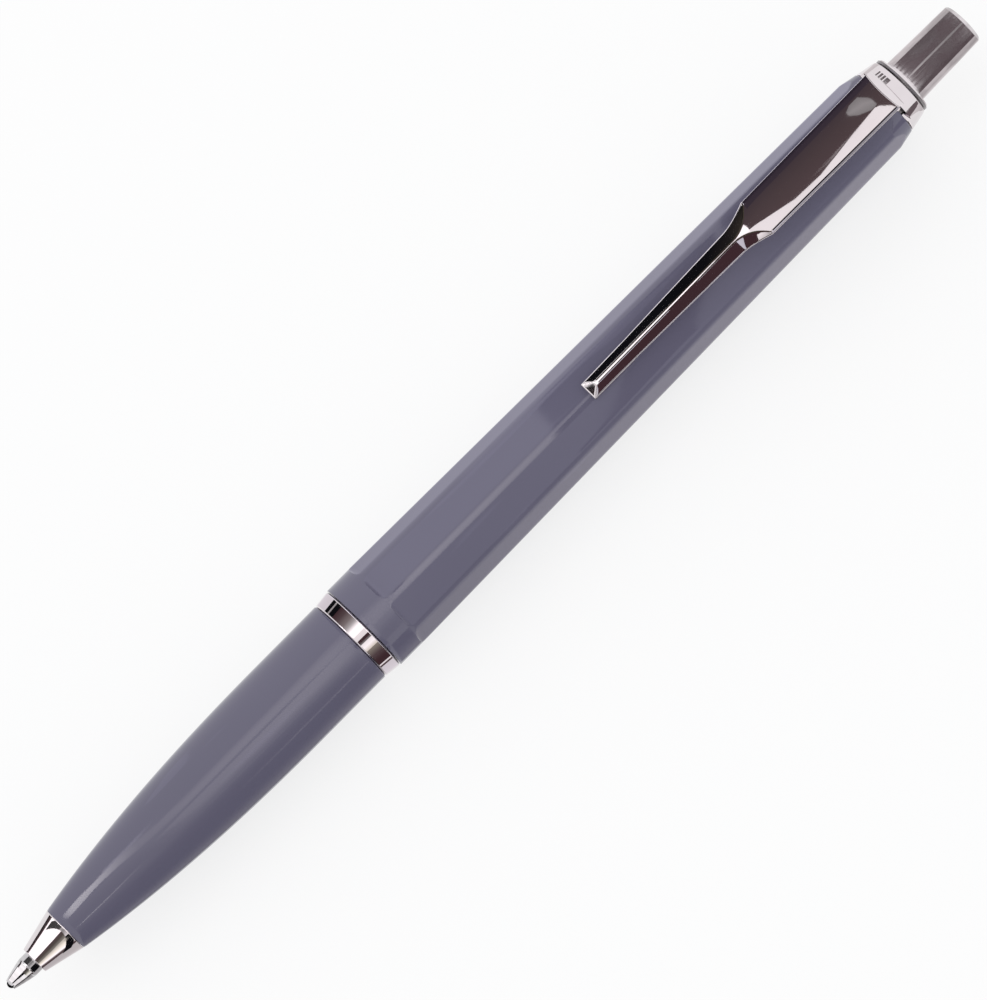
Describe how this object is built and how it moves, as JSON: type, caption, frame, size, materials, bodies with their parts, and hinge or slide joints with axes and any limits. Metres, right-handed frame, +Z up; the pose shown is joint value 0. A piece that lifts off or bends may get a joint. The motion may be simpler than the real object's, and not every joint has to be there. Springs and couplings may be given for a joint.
{
  "type": "pushbutton ballpoint pen",
  "caption": "Pushbutton ballpoint pen with a round tapered lower barrel, an eight-sided upper barrel, a pressed pocket clip and a turning-cam mechanism round a standard refill.",
  "frame": {"origin": "on the surface the pen lies on, below its axis, halfway between the ball and the end of the button with the tip out; the collar behind the centre ring touches the surface", "axes": "+X along the pen's axis from the writing ball to the button, +Z up, +Y level; a flat of the upper barrel faces down and the clip leans 17 degrees from +Z towards -Y"},
  "size_m": [0.136, 0.0104, 0.0127],
  "materials": {
    "barrel_plastic": "glossy grey-violet moulding",
    "chrome": "polished plate on brass and spring steel",
    "steel": "drawn, satin",
    "pale_plastic": "natural moulding",
    "dark_plastic": "dark low-friction moulding",
    "ink": "wet blue paste"
  },
  "bodies": {
    "barrel": {"lower_barrel": "barrel_plastic", "nose_cone": "chrome", "center_ring": "chrome", "upper_barrel": "barrel_plastic", "cam_sleeve": "pale_plastic", "mechanism_bush": "chrome", "crown": "chrome", "return_spring": "steel"},
    "button": {"push_button": "chrome", "plunger": "pale_plastic"},
    "refill": {"refill_tube": "steel", "refill_point": "steel", "refill_plug": "pale_plastic", "ink_column": "ink"},
    "rotor": {"rotor_cam": "dark_plastic"},
    "ball": {"writing_ball": "steel"},
    "clip": {"clip": "chrome"}
  },
  "joints": [
    {"name": "button_slide", "type": "slide", "parent": "barrel", "child": "button", "axis": [1, 0, 0], "range_m": [-0.001, 0.0055]},
    {"name": "refill_slide", "type": "slide", "parent": "barrel", "child": "refill", "axis": [1, 0, 0], "range_m": [-0.001, 0.0055], "deforming": ["return_spring"]},
    {"name": "rotor_turn", "type": "hinge", "parent": "refill", "child": "rotor", "pos_m": [0.0335, 0, 0.0052], "axis": [1, 0, 0], "continuous": true},
    {"name": "ball_roll", "type": "hinge", "parent": "refill", "child": "ball", "pos_m": [-0.0675, 0, 0.0052], "axis": [0, 1, 0], "continuous": true},
    {"name": "clip_flex", "type": "hinge", "parent": "barrel", "child": "clip", "pos_m": [0.05694, -0.00098, 0.00841], "axis": [0, 0.9563, 0.2924], "range_deg": [0, 3.5], "stiffness_Nm_per_rad": 2}
  ],
  "couplings": [
    {"joint": "refill_slide", "follows": "button_slide", "ratio": 1}
  ]
}
